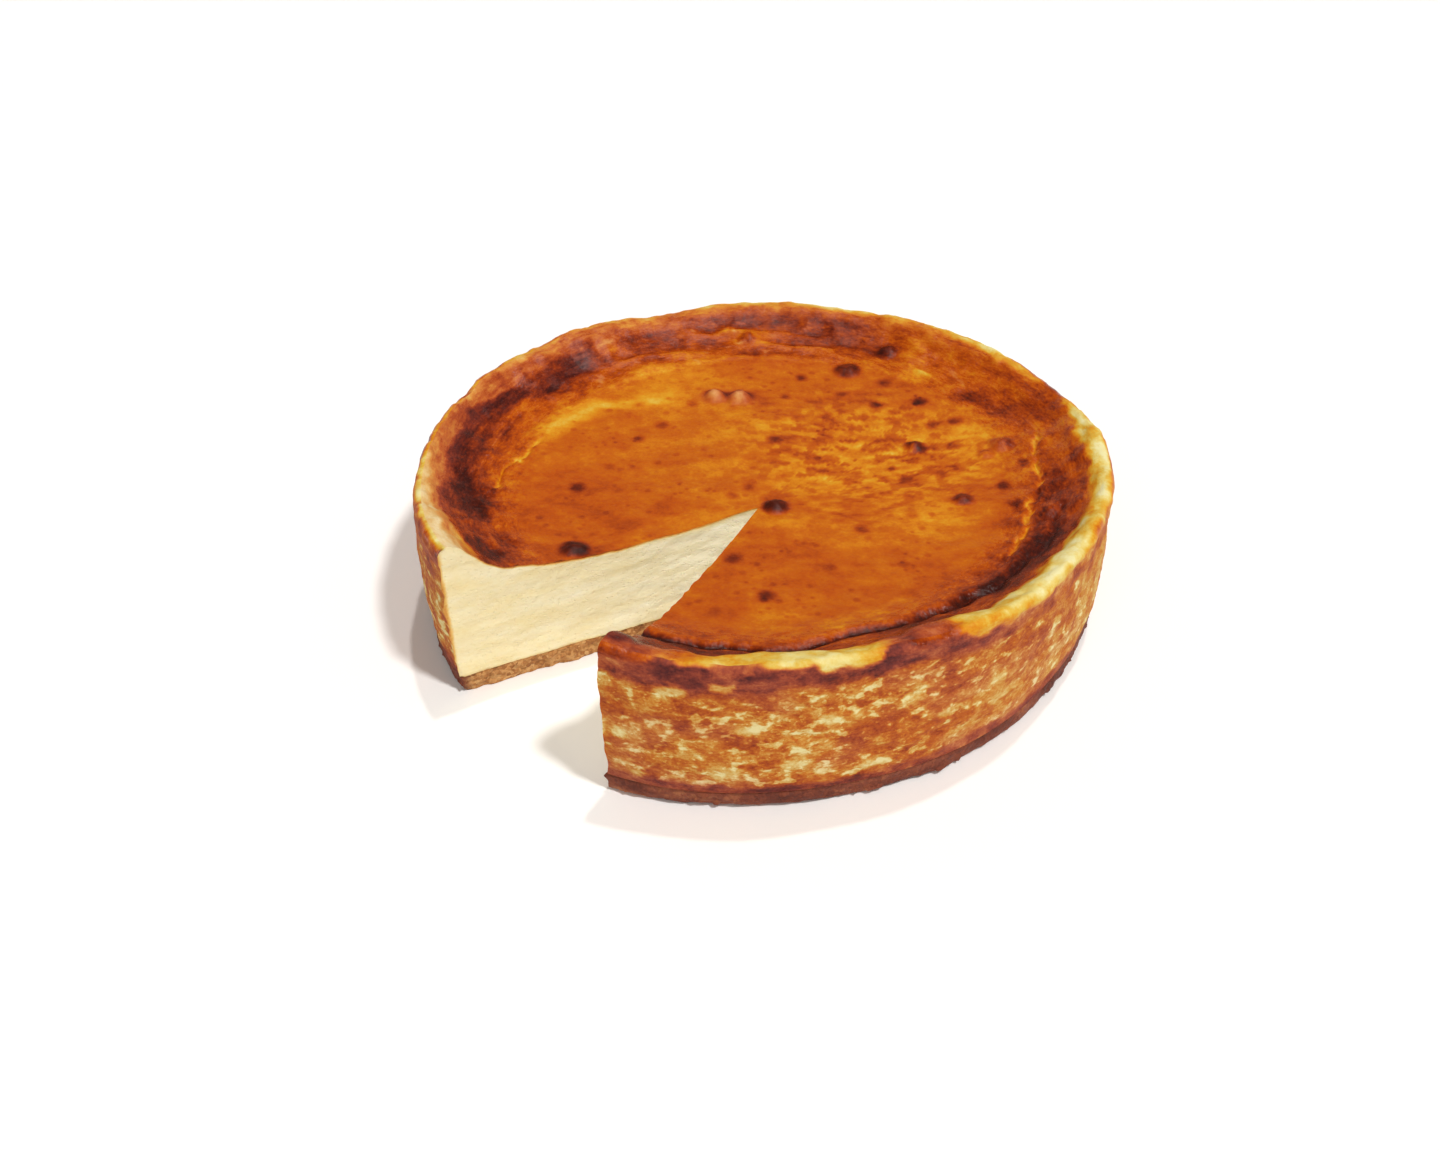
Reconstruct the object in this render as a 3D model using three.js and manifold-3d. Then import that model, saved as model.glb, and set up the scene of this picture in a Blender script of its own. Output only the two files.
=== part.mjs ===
// Round baked cheesecake with one wedge taken out, millimetres, +Z up.
// Origin: centre of the round underside. The missing wedge opens towards -X and -Y.
import * as THREE from 'three';
import { mergeVertices } from 'three/addons/utils/BufferGeometryUtils.js';
import Module from 'manifold-3d';

// ---- driving dimensions ----
const R = 120;              // nominal outer radius
const OVAL = 0.022;         // out-of-round: long axis / mean radius - 1
const OVAL_AZ = 41;         // azimuth of the long axis, degrees
const H_RIM = 54.7;         // mean height of the rim crest
const H_TILT = 3.8;         // the rim is this much lower on its low side
const H_TILT_AZ = 50;       // azimuth of the low side, degrees
const Z_BASIN = 41.5;       // height of the sunken middle
const T_BASE = 7;           // thickness of the pressed crumb base
const R_BASE = 119.2;       // nominal outer radius of the crumb base
const R_LOW = 119.4;        // nominal radius of the filling where it meets the base
const APEX = [-1.4, -18.4]; // where the two knife cuts meet
const CUT_A = 206.7;        // azimuth of the first cut, degrees
const CUT_B = 244.1;        // azimuth of the second cut, degrees
const SEG = 84;             // facets round the cake
const SHIFT = [-0.6, 0.4];  // brings the origin to the middle of the underside

// top profile from the middle out: [radius / outer radius, share of the rise from basin to crest]
const TOP = [
  [0, 0.02], [0.16, 0.01], [0.34, -0.03], [0.50, -0.02], [0.62, 0.02], [0.71, 0.08],
  [0.78, 0.17], [0.835, 0.26], [0.875, 0.40], [0.905, 0.56], [0.93, 0.77],
  [0.95, 0.92], [0.966, 0.99], [0.980, 1.0],
];
// baked blisters on the basin: x, y, radius, height above the skin
const BLISTERS = [
  [4.4, -17.6, 5.6, 2.0], [-62.6, -43.2, 5.6, 1.8], [-16.3, 58.2, 4.6, 1.5], [-9.3, 56.9, 5.0, 1.5],
  [33.0, 77.8, 5.0, 1.4], [49.5, 89.0, 4.4, 1.3], [55.5, 22.1, 5.0, 1.4], [86.7, 22.2, 5.4, 1.1],
];

const rad = (d) => (d * Math.PI) / 180;
const ovalAt = (th) => 1 + OVAL * Math.cos(2 * (th - rad(OVAL_AZ)));
const rimAt = (th) => H_RIM - H_TILT * Math.cos(th - rad(H_TILT_AZ)) + 0.7 * Math.sin(5 * th + 1.1) + 0.5 * Math.sin(9 * th + 0.4);
const wobble = (th) => 0.5 * Math.sin(3 * th + 0.6) + 0.4 * Math.sin(7 * th + 2.0);

const wasm = await Module();
wasm.setup();

// closed solid from a geometry: seam and pole vertices merged, zero-area facets dropped
function solid(geometry) {
  const g = geometry.clone();
  g.deleteAttribute('normal');
  g.deleteAttribute('uv');
  const m = mergeVertices(g, 1e-4);
  const idx = m.index.array;
  const tri = [];
  for (let i = 0; i < idx.length; i += 3) {
    const [a, b, c] = [idx[i], idx[i + 1], idx[i + 2]];
    if (a !== b && b !== c && c !== a) tri.push(a, b, c);
  }
  return new wasm.Manifold(new wasm.Mesh({
    numProp: 3,
    vertProperties: new Float32Array(m.attributes.position.array),
    triVerts: new Uint32Array(tri),
  }));
}

function toGeometry(manifold) {
  const mesh = manifold.getMesh();
  const out = new Float32Array(mesh.numVert * 3);
  for (let i = 0; i < mesh.numVert; i++) {
    for (let k = 0; k < 3; k++) out[3 * i + k] = mesh.vertProperties[mesh.numProp * i + k];
  }
  const g = new THREE.BufferGeometry();
  g.setAttribute('position', new THREE.BufferAttribute(out, 3));
  g.setIndex(new THREE.BufferAttribute(new Uint32Array(mesh.triVerts), 1));
  g.translate(SHIFT[0], SHIFT[1], 0);
  g.computeVertexNormals();
  return g;
}

// revolve a profile, stand it on +Z, then shape every ring by its azimuth
function turned(profile, shape) {
  const pts = profile.map(([r, z]) => new THREE.Vector2(r, z));
  const g = new THREE.LatheGeometry(pts, SEG);
  g.rotateX(Math.PI / 2);
  const p = g.attributes.position;
  for (let i = 0; i < p.count; i++) {
    const x = p.getX(i), y = p.getY(i), z = p.getZ(i);
    const r = Math.hypot(x, y);
    const th = Math.atan2(y, x);
    const [r2, z2] = shape(r, th, z);
    p.setXYZ(i, r < 1e-6 ? 0 : r2 * Math.cos(th), r < 1e-6 ? 0 : r2 * Math.sin(th), z2);
  }
  return g;
}

// ---- custard filling: z in the profile runs 0..1 between the basin and the crest above T_BASE ----
const fillingProfile = [
  [0, -2], [60, -2], [R_LOW, -2],
  [R * 1.000, -1.6], [R * 1.004, -1.0], [R * 1.002, -0.4], [R, 0.25], [R * 0.999, 0.66],
  [R * 0.995, 0.90], [R * 0.988, 0.985],
];
for (let i = TOP.length - 1; i >= 0; i--) fillingProfile.push([R * TOP[i][0], TOP[i][1]]);

function shapeFilling(r, th, v) {
  const outer = Math.max(0, (r / R - 0.86) / 0.14);
  const r2 = r * (1 + (ovalAt(th) - 1) * Math.min(1, r / (0.6 * R))) + wobble(th) * outer;
  let z;
  if (v <= -1.99) z = T_BASE;
  else if (v < -0.2) z = T_BASE + (Z_BASIN - T_BASE) * (2 + v) / 2;
  else z = Z_BASIN + (rimAt(th) - Z_BASIN) * v;
  return [r2, z];
}

// ---- crumb base ----
const baseProfile = [
  [0, 0], [60, 0], [R_BASE - 1.6, 0], [R_BASE - 0.3, 1.2], [R_BASE, 3.4], [R_BASE - 0.2, T_BASE], [60, T_BASE], [0, T_BASE],
];
function shapeBase(r, th, z) {
  const outer = Math.max(0, (r / R - 0.86) / 0.14);
  return [r * (1 + (ovalAt(th) - 1) * Math.min(1, r / (0.6 * R))) + (wobble(th) * 0.6 + 0.4 * Math.sin(11 * th)) * outer, z];
}

// ---- wedge removed by two knife cuts ----
function wedge() {
  const far = 170;
  const s = new THREE.Shape();
  s.moveTo(APEX[0], APEX[1]);
  s.lineTo(APEX[0] + far * Math.cos(rad(CUT_A)), APEX[1] + far * Math.sin(rad(CUT_A)));
  s.lineTo(APEX[0] + far * Math.cos(rad(CUT_B)), APEX[1] + far * Math.sin(rad(CUT_B)));
  s.closePath();
  const g = new THREE.ExtrudeGeometry(s, { depth: 90, bevelEnabled: false, steps: 1 });
  g.translate(0, 0, -12);
  return solid(g);
}

const cut = wedge();
let filling = solid(turned(fillingProfile, shapeFilling));
const base = solid(turned(baseProfile, shapeBase)).subtract(cut);
for (const [x, y, r, h] of BLISTERS) {
  const g = new THREE.SphereGeometry(1, 14, 8);
  g.rotateX(Math.PI / 2);
  g.scale(r, r * 0.9, h + 1.6);
  // the skin rises towards the rim, so a blister further out sits higher
  const rho = Math.hypot(x, y) / R;
  let share = 0;
  for (let i = 1; i < TOP.length; i++) {
    if (rho <= TOP[i][0]) {
      const t = (rho - TOP[i - 1][0]) / (TOP[i][0] - TOP[i - 1][0]);
      share = TOP[i - 1][1] + t * (TOP[i][1] - TOP[i - 1][1]);
      break;
    }
  }
  g.translate(x, y, Z_BASIN + (rimAt(Math.atan2(y, x)) - Z_BASIN) * share - 1.6);
  filling = filling.add(solid(g));
}
filling = filling.subtract(cut);

const fillingMesh = new THREE.Mesh(
  toGeometry(filling),
  new THREE.MeshStandardMaterial({ color: 0xc98a3c, roughness: 0.5, metalness: 0 }),
);
fillingMesh.name = 'cheese_filling';
const baseMesh = new THREE.Mesh(
  toGeometry(base),
  new THREE.MeshStandardMaterial({ color: 0x7a4a28, roughness: 0.85, metalness: 0 }),
);
baseMesh.name = 'biscuit_base';

const group = new THREE.Group();
group.name = 'cheesecake';
group.add(fillingMesh, baseMesh);

export default group;
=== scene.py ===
import math
import bpy
import numpy as np
from mathutils import Matrix, Vector


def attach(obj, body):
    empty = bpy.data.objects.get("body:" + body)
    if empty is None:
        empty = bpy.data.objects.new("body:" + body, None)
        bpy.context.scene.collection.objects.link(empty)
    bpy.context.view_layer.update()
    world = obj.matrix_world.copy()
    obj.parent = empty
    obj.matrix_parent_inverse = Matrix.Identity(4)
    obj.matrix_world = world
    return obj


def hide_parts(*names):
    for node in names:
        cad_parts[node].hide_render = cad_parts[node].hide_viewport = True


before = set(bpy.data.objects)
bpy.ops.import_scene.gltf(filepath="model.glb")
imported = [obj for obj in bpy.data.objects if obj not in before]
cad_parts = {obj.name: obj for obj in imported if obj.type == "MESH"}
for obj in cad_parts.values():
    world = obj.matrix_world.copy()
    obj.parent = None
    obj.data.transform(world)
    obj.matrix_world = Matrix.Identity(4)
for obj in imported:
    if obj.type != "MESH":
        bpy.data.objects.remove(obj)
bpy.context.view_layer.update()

# ------------------------------------------------------------------ dimensions (mm)
R = 120.0
OVAL, OVAL_AZ = 0.022, math.radians(41)
H_RIM, H_TILT, H_TILT_AZ = 54.7, 3.8, math.radians(50)
Z_BASIN = 41.5
T_BASE = 7.0
R_BASE = 119.2
R_LOW = 119.4
APEX = np.array([-1.4, -18.4])
CUT_A, CUT_B = math.radians(206.7), math.radians(244.1)
SHIFT = np.array([-0.6, 0.4])
TOP = np.array([[0, 0.02], [0.16, 0.01], [0.34, -0.03], [0.50, -0.02], [0.62, 0.02], [0.71, 0.08],
                [0.78, 0.17], [0.835, 0.26], [0.875, 0.40], [0.905, 0.56], [0.93, 0.77],
                [0.95, 0.92], [0.966, 0.99], [0.98, 1.0], [1.05, 1.0]])
TAU = 2 * math.pi


# ------------------------------------------------------------------ noise
def _hash(ix, iy, iz, seed):
    h = (ix.astype(np.int64) * 374761393 + iy.astype(np.int64) * 668265263
         + iz.astype(np.int64) * 2147483647 + seed * 1442695041) & 0xFFFFFFFF
    h = ((h ^ (h >> 13)) * 1274126177) & 0xFFFFFFFF
    h = ((h ^ (h >> 16)) * 2246822519) & 0xFFFFFFFF
    h = h ^ (h >> 15)
    return (h & 0xFFFFFF).astype(np.float64) / float(0xFFFFFF)


def vnoise(x, y, z=0.0, seed=0):
    """Smooth value noise, about -1..1."""
    x, y, z = np.broadcast_arrays(np.asarray(x, float), np.asarray(y, float), np.asarray(z, float))
    x0, y0, z0 = np.floor(x), np.floor(y), np.floor(z)
    fx, fy, fz = x - x0, y - y0, z - z0
    s = lambda t: t * t * t * (t * (t * 6 - 15) + 10)
    ux, uy, uz = s(fx), s(fy), s(fz)
    x0, y0, z0 = x0.astype(np.int64), y0.astype(np.int64), z0.astype(np.int64)
    out = 0.0
    for dx in (0, 1):
        wx = ux if dx else 1 - ux
        for dy in (0, 1):
            wy = uy if dy else 1 - uy
            for dz in (0, 1):
                wz = uz if dz else 1 - uz
                out = out + wx * wy * wz * _hash(x0 + dx, y0 + dy, z0 + dz, seed)
    return (out - 0.5) * 2.0


def fbm(x, y, z=0.0, seed=0, octaves=4, gain=0.5):
    out, amp, tot, f = 0.0, 1.0, 0.0, 1.0
    for o in range(octaves):
        out = out + amp * vnoise(np.asarray(x) * f + 13.7 * o, np.asarray(y) * f - 7.3 * o, np.asarray(z) * f + 3.1 * o, seed + o)
        tot += amp
        amp *= gain
        f *= 2.03
    return out / tot * 1.6


def ridge(x, y, z=0.0, seed=0, octaves=2):
    out, amp, tot, f = 0.0, 1.0, 0.0, 1.0
    for o in range(octaves):
        n = 1.0 - np.abs(vnoise(np.asarray(x) * f + 5.1 * o, np.asarray(y) * f + 9.2 * o, z, seed + 31 * o)) * 2.0
        out = out + amp * n
        tot += amp
        amp *= 0.5
        f *= 2.1
    return out / tot


def sstep(a, b, x):
    t = np.clip((x - a) / (b - a), 0, 1)
    return t * t * (3 - 2 * t)


def table_at(th_deg, pts):
    """Smooth periodic lookup: pts is [(azimuth, value), ...] in degrees."""
    pts = sorted(pts)
    a = np.array([p[0] for p in pts], float)
    v = np.array([p[1] for p in pts], float)
    a = np.concatenate([a - 360, a, a + 360])
    v = np.concatenate([v, v, v])
    t = np.mod(th_deg, 360)
    i = np.clip(np.searchsorted(a, t) - 1, 0, len(a) - 2)
    u = np.clip((t - a[i]) / (a[i + 1] - a[i]), 0, 1)
    u = u * u * (3 - 2 * u)
    return v[i] * (1 - u) + v[i + 1] * u


def line_dist(x, y, pts):
    d = np.full(np.shape(x), 1e9)
    for (x0, y0), (x1, y1) in zip(pts[:-1], pts[1:]):
        vx, vy = x1 - x0, y1 - y0
        t = np.clip(((x - x0) * vx + (y - y0) * vy) / (vx * vx + vy * vy), 0, 1)
        d = np.minimum(d, np.hypot(x - x0 - t * vx, y - y0 - t * vy))
    return d


# ------------------------------------------------------------------ shape functions
def oval_at(th):
    return 1 + OVAL * np.cos(2 * (th - OVAL_AZ))


def wobble(th):
    return 0.5 * np.sin(3 * th + 0.6) + 0.4 * np.sin(7 * th + 2.0)


def rim_at(th):
    return H_RIM - H_TILT * np.cos(th - H_TILT_AZ) + 0.7 * np.sin(5 * th + 1.1) + 0.5 * np.sin(9 * th + 0.4)


def r_out(th):
    return R * oval_at(th) + wobble(th)


# smooth version of the top profile
_rho = np.linspace(0, 1.05, 1051)
_prof = np.interp(_rho, TOP[:, 0], TOP[:, 1])
_k = np.exp(-0.5 * (np.arange(-30, 31) / 10.0) ** 2)
_k /= _k.sum()
_prof = np.convolve(np.concatenate([np.full(30, _prof[0]), _prof, np.full(30, _prof[-1])]), _k, mode="valid")


def profile(rho):
    return np.interp(rho, _rho, _prof)


# blisters: x, y, radius, height, darkness
BLISTERS = [
    (4.4, -17.6, 4.8, 2.4, 0.42), (-62.4, -43.2, 5.2, 1.8, 0.38),
    (-19.0, 57.6, 4.6, 3.0, 0.25), (-9.6, 56.8, 5.2, 3.2, 0.26),
    (33.0, 77.8, 5.4, 1.8, 0.38), (49.5, 89.0, 4.2, 2.2, 0.24), (55.5, 22.1, 4.2, 2.0, 0.42),
    (86.7, 22.2, 5.0, 2.0, 0.28), (80.6, 16.3, 3.4, 0.9, 0.26), (69.3, -12.0, 3.8, 1.4, 0.38),
    (-7.0, 98.0, 3.6, 1.8, 0.16),
]
# baked spots with no height: x, y, radius, darkness
SPOTS = [
    (43.4, 51.1, 3.4, 0.34), (59.6, 53.5, 3.4, 0.40), (77.4, 56.3, 6.5, 0.14), (4.2, 26.1, 3.0, 0.34),
    (-27.7, 52.2, 2.6, 0.24), (-38.3, 36.8, 3.0, 0.22), (-46.2, 26.8, 2.6, 0.22), (-65.4, -5.8, 3.2, 0.26),
    (14.6, 72.8, 2.8, 0.30), (8.6, 58.6, 2.6, 0.24), (69.8, 23.0, 2.8, 0.26), (92.7, 8.6, 3.4, 0.26),
    (84.4, -4.2, 3.0, 0.22), (86.8, -16.5, 3.0, 0.24), (33.5, -30.3, 3.0, 0.24), (51.0, -21.4, 3.0, 0.20),
    (1.2, -67.6, 3.6, 0.34), (-9.7, -47.6, 3.4, 0.24), (-15.0, -76.0, 3.4, 0.13), (-5.0, -5.6, 2.6, 0.22),
    (-10.8, -11.2, 2.4, 0.20), (-34.2, -18.5, 6.5, 0.12), (-45.8, -28.3, 6.5, 0.12), (24.0, 44.0, 2.2, 0.20),
    (63.0, 37.0, 2.6, 0.24), (30.0, 60.0, 2.6, 0.18), (72.0, 40.0, 3.0, 0.22), (47.0, 68.0, 3.4, 0.20),
    (20.0, 14.0, 1.8, 0.18), (34.0, 5.0, 1.8, 0.16), (12.0, 42.0, 2.0, 0.16), (-22.0, 20.0, 2.2, 0.14),
    (-55.0, 8.0, 2.4, 0.14), (-48.0, 52.0, 3.0, 0.16), (22.0, -52.0, 2.4, 0.16), (46.0, -50.0, 2.6, 0.14),
]
CRACKS = [
    [(-83.2, 24.0), (-85.8, 14.3), (-88.6, 7.0)],
    [(-89.5, 8.6), (-92.3, 2.4), (-93.2, -4.2), (-93.4, -10.0)],
    [(99.5, 25.0), (97.9, 12.7), (97.5, 3.1), (95.8, -6.1), (91.3, -17.9), (89.3, -27.0), (86.0, -36.0), (81.3, -45.9)],
]
# the darkest part of the burnt band, left and right
CORE_L = [(-99.7, 44.8), (-105.0, 38.0), (-110.0, 28.8), (-110.0, 13.1), (-106.6, 3.2), (-103.5, -3.5), (-99.1, -13.8), (-95.9, -29.1), (-91.5, -40.9), (-86.6, -51.0)]
CORE_B = [(-99.7, 43.8), (-93.4, 50.9), (-86.6, 56.5), (-80.0, 66.2), (-69.5, 80.1)]
CORE_R = [(100.0, -18.0), (97.2, -29.4), (91.1, -40.6), (84.8, -52.2), (76.4, -62.7), (64.8, -73.2)]
CORE_T = [(-40.0, 97.0), (-18.4, 107.5), (-1.9, 110.0), (14.7, 109.5), (33.0, 105.0)]
GROOVE = [(-46.0, -88.0), (-30.2, -92.0), (-8.0, -97.0), (9.3, -97.5), (24.0, -92.0), (40.0, -86.5), (61.6, -73.5),
          (80.2, -58.5), (94.9, -38.8), (101.5, -20.0)]


def polar(x, y):
    th = np.arctan2(y, x)
    r = np.hypot(x, y)
    rho = r / r_out(th)
    deg = np.degrees(th)
    un = np.where(np.mod(deg, 360) < 225, np.mod(deg, 360) + 360, np.mod(deg, 360))
    arc = np.radians(un) * 110.0
    return th, r, rho, deg, arc


def top_height(x, y):
    """Height of the browned top at x, y."""
    th, r, rho, deg, arc = polar(x, y)
    edge = sstep(0.60, 0.80, rho)
    rw = rho + 0.016 * fbm(arc / 26, r / 40, 0, 11, 3) * edge + 0.006 * fbm(arc / 7, r / 9, 0, 12, 2) * edge
    rw = rw + table_at(deg, [(0, 0.0), (60, 0.012), (95, 0.022), (130, 0.010), (170, -0.012), (200, 0.0), (250, 0.02), (290, 0.02), (320, 0.0)]) * edge * (1 - sstep(0.93, 1.0, rho))
    z = Z_BASIN + (rim_at(th) - Z_BASIN) * profile(rw)
    # basin: slow undulation and a fine uneven skin
    z = z + 0.45 * fbm(x / 34, y / 34, 0, 21, 3) + 0.16 * fbm(x / 7, y / 7, 0, 22, 3)
    # folds of skin round the inner wall, strongest at the back
    fold_amp = table_at(deg, [(0, 0.45), (30, 0.6), (60, 1.0), (95, 1.35), (130, 1.1), (160, 0.8), (200, 0.6), (246, 0.35), (262, 0.20), (290, 0.20), (310, 0.4), (335, 0.5)])
    fold_zone = sstep(0.70, 0.80, rho) * (1 - sstep(0.93, 0.975, rho))
    warp = 3.0 * fbm(arc / 30, r / 22, 0, 31, 2)
    folds = ridge(arc / 34, (r + warp) / 7.5, 0, 32, 2)
    z = z + fold_amp * fold_zone * (folds - 0.25) * 1.10
    z = z + 0.33 * fold_zone * fbm(arc / 6, r / 4, 0, 33, 2) * np.clip(fold_amp * 1.6, 0, 1)
    # rim crest: lumpy, torn
    crest = sstep(0.925, 0.96, rho)
    z = z + crest * (0.75 * fbm(arc / 13, r / 9, 0, 41, 3) + 0.28 * fbm(arc / 3.2, r / 2.8, 0, 42, 2))
    # crease where the front of the basin meets the wall
    g = line_dist(x + 1.6 * fbm(x / 9, y / 9, 2, 51, 2), y + 1.6 * fbm(x / 9, y / 9, 7, 52, 2), GROOVE)
    z = z - 1.5 * np.exp(-(g / 1.9) ** 2)
    z = z + 0.35 * np.exp(-((g - 4.2) / 2.2) ** 2) * sstep(0.86, 0.80, rho)
    for i, c in enumerate(CRACKS):
        d = line_dist(x + 1.1 * fbm(x / 3.5, y / 3.5, 3, 61 + i, 2), y + 1.1 * fbm(x / 3.5, y / 3.5, 5, 63 + i, 2), c)
        z = z - 0.7 * np.exp(-(d / 0.8) ** 2) + 0.35 * np.exp(-((d - 1.7) / 0.8) ** 2)
    for i, (bx, by, br, bh, bd) in enumerate(BLISTERS):
        dx, dy = x - bx, y - by
        rr = br * (1 + 0.10 * np.sin(3 * np.arctan2(dy, dx) + i) + 0.05 * np.sin(5 * np.arctan2(dy, dx) + 2 * i))
        d = np.hypot(dx, dy * 1.1) / rr
        z = z + bh * np.clip(1 - d * d, 0, 1) ** 1.15 * (1 + 0.16 * fbm(dx / 1.6, dy / 1.6, i, 66, 2))
        z = z - 0.14 * np.exp(-((d - 1.12) / 0.16) ** 2)
    return z


def painted_fold_highlight(arc, rs, rho, deg):
    """Painted highlight: thin pale streaks along the fold crests of the inner wall at the back, standing in for glints
    on the folds, 0 to 1.
    """
    line = ridge(arc / 26 + 0.15 * fbm(arc / 9, rs / 9, 0, 185, 2), rs / 4.6 + 0.35 * fbm(arc / 17, rs / 12, 0, 186, 2), 0, 187, 1)
    parts = sstep(0.10, 0.40, fbm(arc / 12, rs / 7, 0, 188, 2))
    zone = sstep(0.70, 0.78, rho) * (1 - sstep(0.90, 0.94, rho)) * table_at(deg, [(0, 0.2), (40, 0.5), (70, 1.0), (125, 1.0), (150, 0.6), (190, 0.2), (320, 0.1)])
    return sstep(0.84, 0.96, line) * parts * zone


def top_tone(x, y, z):
    """Browning of the top, 0 cream to 1 burnt."""
    th, r, rho, deg, arc = polar(x, y)
    rs = r + np.clip(z - Z_BASIN, 0, None)
    rw = rho + 0.018 * fbm(arc / 15, rs / 11, 0, 71, 3) + table_at(deg, [(0, 0.008), (100, 0.008), (150, 0.006), (200, 0.006), (244, 0.008)]) * fbm(arc / 4.5, rs / 4.2, 0, 72, 2)
    # basin
    t = 0.52 + 0.06 * fbm(x / 30, y / 20, 0, 73, 3) + 0.05 * fbm(x / 11, y / 5.5, 0, 74, 3) + 0.03 * fbm(x / 3, y / 2.4, 0, 75, 2)
    lively = np.exp(-(((x - 40) / 48) ** 2 + ((y - 18) / 42) ** 2) ** 1.5)
    streak = fbm(x / 8.5, y / 3.8, 0, 171, 3)
    t = t + lively * (0.105 * streak + 0.075 * fbm(x / 3.6, y / 1.9, 0, 172, 2))
    t = t - 0.07 * lively * sstep(0.05, 0.45, fbm(x / 13, y / 7, 0, 173, 3))
    t = t + 0.19 * lively * sstep(0.20, 0.42, fbm(x / 4.2, y / 2.6, 0, 174, 2))
    t = t - 0.085 * np.exp(-(((x - 38) / 36) ** 2 + ((y - 15) / 24) ** 2) ** 1.2)
    t = t - 0.11 * np.exp(-(((x - 28) / 16) ** 2 + ((y + 5) / 6) ** 2))
    t = t - 0.12 * np.exp(-(((x - 57) / 12) ** 2 + ((y + 24) / 7) ** 2)) * (0.8 + 0.6 * streak)
    t = t - 0.06 * np.exp(-(((x + 8) / 34) ** 2 + ((y - 28) / 20) ** 2))
    t = t - 0.05 * np.exp(-(((x + 25) / 45) ** 2 + ((y - 70) / 10) ** 2))
    yb = line_dist(x, y, [(-80.0, 30.0), (-74.0, 38.0), (-69.0, 43.0), (-60.0, 49.5), (-46.0, 54.0), (-32.0, 54.5)])
    t = t - 0.185 * np.exp(-(yb / 5.5) ** 2) * (0.9 + 0.45 * streak)
    t = t - 0.24 * np.exp(-(((x - 59.5) / 6.5) ** 2 + ((y - 73.5) / 5.5) ** 2) ** 1.3)
    t = t - 0.06 * np.exp(-(((x - 70) / 22) ** 2 + ((y - 40) / 24) ** 2))
    t = t + 0.06 * sstep(-10, -60, x) * sstep(46, 20, y) + 0.05 * sstep(-20, -60, y) + 0.05 * np.exp(-((rho - 0.72) / 0.07) ** 2) * sstep(20, -30, y)
    t = t - 0.05 * np.exp(-((rho - 0.70) / 0.06) ** 2) * table_at(deg, [(0, 0.5), (90, 0.2), (150, 1.2), (200, 0.8), (260, 0.7), (320, 1.0)])
    # burnt inner wall: strength, where it starts and where it ends, by azimuth
    amt = table_at(deg, [(0, 0.19), (12, 0.15), (25, 0.14), (45, 0.07), (62, 0.04), (80, 0.04), (100, 0.06), (120, 0.16), (140, 0.23), (155, 0.21),
                         (172, 0.19), (190, 0.18), (206, 0.17), (214, 0.17), (246, 0.20), (262, 0.24), (280, 0.26), (300, 0.24), (318, 0.24), (335, 0.22), (350, 0.20)])
    lo = table_at(deg, [(0, 0.80), (30, 0.79), (60, 0.74), (90, 0.72), (120, 0.75), (150, 0.80), (172, 0.78), (195, 0.79), (214, 0.81), (246, 0.80), (275, 0.81), (300, 0.79), (320, 0.81), (340, 0.81)])
    hi = table_at(deg, [(0, 0.950), (12, 0.945), (23, 0.975), (32, 0.945), (45, 0.952), (60, 0.948), (75, 0.956), (90, 0.952), (108, 0.948), (120, 0.944), (140, 0.940), (148, 0.936), (155, 0.935), (172, 0.944), (190, 0.930),
                        (206, 0.918), (214, 0.905), (246, 0.97), (258, 0.93), (272, 0.905), (290, 0.955), (300, 0.915), (320, 0.930), (340, 0.935)])
    band = sstep(lo - 0.035, lo + 0.055, rw) * (1 - sstep(hi - 0.032, hi + 0.010, rw))
    patch = 0.90 + 0.45 * fbm(arc / 19, rs / 7.0, 0, 76, 3) + 0.22 * fbm(arc / 6, rs / 3.4, 0, 77, 2)
    t = t + amt * band * np.clip(patch, 0.05, 1.5)
    wx, wy = x + 2.2 * fbm(x / 9, y / 9, 4, 175, 3), y + 2.2 * fbm(x / 9, y / 9, 8, 176, 3)
    core = 0.23 * np.exp(-(line_dist(wx, wy, CORE_L) / 5.2) ** 2) * (0.85 + 0.5 * fbm(arc / 12, r / 6, 0, 177, 2))
    core = core + 0.14 * np.exp(-(line_dist(wx, wy, CORE_B) / 5.5) ** 2)
    core = core + 0.07 * np.exp(-(line_dist(wx, wy, CORE_T) / 3.6) ** 2) * (0.8 + 0.6 * fbm(arc / 9, r / 5, 0, 180, 2))
    core = core + 0.14 * np.exp(-(line_dist(wx, wy, CORE_R) / 5.0) ** 2) * (0.85 + 0.5 * fbm(arc / 12, r / 6, 0, 178, 2))
    t = t + core * (1 - sstep(hi - 0.02, hi + 0.01, rw))
    cap = table_at(deg, [(0, 0.78), (40, 0.66), (100, 0.65), (118, 0.71), (134, 0.80), (150, 0.87), (214, 0.89), (250, 0.89), (320, 0.89), (345, 0.80)])
    t = np.where(t > cap, cap + (t - cap) * 0.25, t)
    warp = 3.0 * fbm(arc / 30, r / 22, 0, 31, 2)
    folds = ridge(arc / 34, (r + warp) / 7.5, 0, 32, 2)
    fz = sstep(0.68, 0.78, rho) * (1 - sstep(0.93, 0.97, rho)) * table_at(deg, [(0, 0.4), (60, 1.0), (95, 1.2), (140, 0.8), (180, 0.5), (250, 0.5), (320, 0.5)])
    t = t - 0.17 * fz * (folds - 0.35)
    # painted highlight: pale streaks along the fold crests at the back
    t = t - 0.20 * painted_fold_highlight(arc, rs, rho, deg)
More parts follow.
